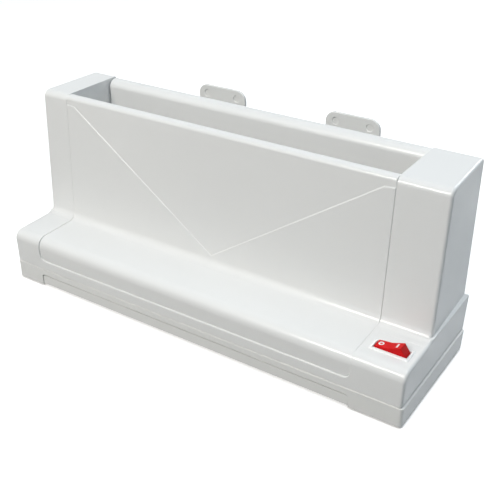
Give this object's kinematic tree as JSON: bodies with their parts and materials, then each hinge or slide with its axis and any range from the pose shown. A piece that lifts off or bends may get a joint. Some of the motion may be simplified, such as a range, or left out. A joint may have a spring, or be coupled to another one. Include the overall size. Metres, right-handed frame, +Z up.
{
  "type": "thermal binding machine",
  "caption": "Free-standing thermal binding machine: tall white housing with a long heated document slot, a rocker switch on its front ledge and a sliding cooling rack behind.",
  "frame": {"origin": "on the table under the middle of the machine's outline, cooling rack included", "axes": "+X to the user's right along the slot, +Y to the back, +Z up"},
  "size_m": [0.384, 0.1642, 0.1653],
  "materials": {
    "housing_white": "fine moulded texture, satin",
    "base_white": "fine moulded texture, satin",
    "rack_white": "smooth moulded, satin",
    "switch_white": "glossy",
    "rocker_red": "glossy, translucent red",
    "black_plastic": "matt black",
    "rubber_grey": "matt",
    "guide_paint": "white baked enamel",
    "plate_aluminium": "extruded, mill finish",
    "sheet_steel": "zinc plated",
    "screw_steel": "zinc plated",
    "contact_brass": "bright",
    "insulator": "moulded phenolic",
    "lead_insulation": "silicone sleeve"
  },
  "bodies": {
    "machine": {"upper_housing": "housing_white", "front_panel": "housing_white", "rear_guide_panel": "housing_white", "rear_cover": "housing_white", "cover_screws": "screw_steel", "front_guide_plate": "guide_paint", "guide_screws": "screw_steel", "base_tray": "base_white", "housing_screws": "screw_steel", "rubber_feet": "rubber_grey", "heater_plate": "plate_aluminium", "heating_element": "sheet_steel", "clamp_straps": "sheet_steel", "clamp_screws": "screw_steel", "plate_standoffs": "insulator", "standoff_screws": "screw_steel", "heat_shield": "sheet_steel", "thermostat": "black_plastic", "thermostat_screws": "screw_steel", "fuse_bracket": "insulator", "thermal_fuse": "sheet_steel", "switch_housing": "switch_white", "switch_terminals": "contact_brass", "power_inlet": "black_plastic", "inlet_pins": "contact_brass", "inlet_screws": "screw_steel", "terminal_block": "black_plastic", "inlet_leads": "lead_insulation", "switch_leads": "lead_insulation", "heater_leads": "lead_insulation"},
    "rocker": {"switch_rocker": "rocker_red", "rocker_plunger": "black_plastic"},
    "contact": {"contact_lever": "contact_brass"},
    "rack": {"rack_tray": "rack_white", "rack_upright_left": "rack_white", "rack_upright_right": "rack_white", "rack_screws": "screw_steel", "rack_feet": "rubber_grey"}
  },
  "joints": [
    {"name": "rocker_tilt", "type": "hinge", "parent": "machine", "child": "rocker", "pos_m": [0.1711, -0.06055, 0.0437], "axis": [0, 1, 0], "range_deg": [0, 26]},
    {"name": "contact_tilt", "type": "hinge", "parent": "machine", "child": "contact", "pos_m": [0.1711, -0.06055, 0.0348], "axis": [0, 1, 0], "range_deg": [-12, 0]},
    {"name": "rack_slide", "type": "slide", "parent": "machine", "child": "rack", "axis": [0, 1, 0], "range_m": [0, 0.055]}
  ],
  "couplings": [
    {"joint": "contact_tilt", "follows": "rocker_tilt", "ratio": -0.4615}
  ]
}
